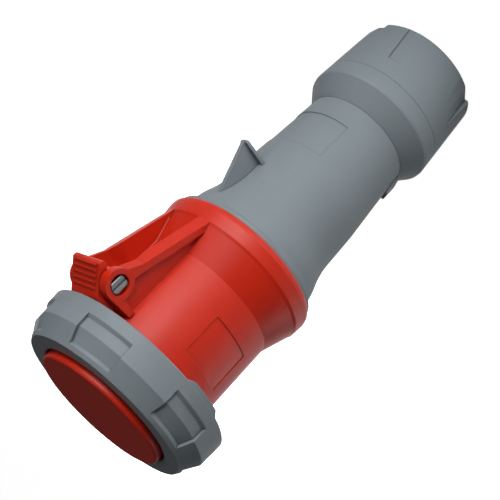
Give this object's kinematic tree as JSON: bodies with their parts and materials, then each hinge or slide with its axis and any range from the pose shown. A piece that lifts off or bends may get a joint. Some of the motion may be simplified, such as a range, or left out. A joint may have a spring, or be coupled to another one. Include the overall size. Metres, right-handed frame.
{
  "type": "pin and sleeve connector",
  "caption": "Cable-mounted round power connector with a hinged lid, a bayonet locking ring, a two-part housing and a cable gland nut.",
  "frame": {"origin": "centre of the gland nut's rear face, on the main axis", "axes": "+Z along the main axis towards the lid; +X towards the lid's hinge; +Y completes the right-handed frame, along the hinge pin"},
  "size_m": [0.128, 0.117, 0.2786],
  "materials": {
    "grey_shell": "satin moulded grey plastic",
    "grey_nut": "satin moulded grey plastic",
    "grey_ring": "satin moulded grey plastic",
    "red_lid": "satin moulded red plastic",
    "red_shell": "satin moulded red plastic",
    "rubber_seal": "matt black elastomer",
    "thrust_plastic": "matt dark plastic",
    "carrier_plastic": "matt dark plastic",
    "steel_fasteners": "zinc plated",
    "bright_pin": "bright drawn steel",
    "contact_brass": "machined"
  },
  "bodies": {
    "housing": {"rear_housing": "grey_shell", "front_housing": "red_shell", "housing_seal": "rubber_seal", "contact_carrier": "carrier_plastic", "retaining_plate": "carrier_plastic", "plate_screws": "steel_fasteners", "terminal_screws": "steel_fasteners", "hinge_pin": "bright_pin", "cable_seal": "rubber_seal", "contact_earth": "contact_brass", "contact_1": "contact_brass", "contact_2": "contact_brass", "contact_3": "contact_brass", "contact_neutral": "contact_brass", "contact_pilot": "contact_brass"},
    "lid": {"lid": "red_lid", "lid_gasket": "rubber_seal"},
    "bayonet_ring": {"bayonet_ring": "grey_ring"},
    "thrust_ring": {"thrust_ring": "thrust_plastic"},
    "gland_nut": {"gland_nut": "grey_nut"}
  },
  "joints": [
    {"name": "lid_hinge", "type": "hinge", "parent": "housing", "child": "lid", "pos_m": [0.0562, 0, 0.2354], "axis": [0, 1, 0], "range_deg": [0, 110]},
    {"name": "ring_turn", "type": "hinge", "parent": "lid", "child": "bayonet_ring", "pos_m": [0, 0, 0.26], "axis": [0, 0, 1], "range_deg": [-40, 0]},
    {"name": "gland_travel", "type": "slide", "parent": "housing", "child": "thrust_ring", "axis": [0, 0, -1], "range_m": [0, 0.006]},
    {"name": "gland_turn", "type": "hinge", "parent": "thrust_ring", "child": "gland_nut", "pos_m": [0, 0, 0.03], "axis": [0, 0, -1], "range_deg": [0, 720]}
  ],
  "couplings": [
    {"joint": "gland_travel", "follows": "gland_turn", "m_per_rad": 0.00047746}
  ]
}
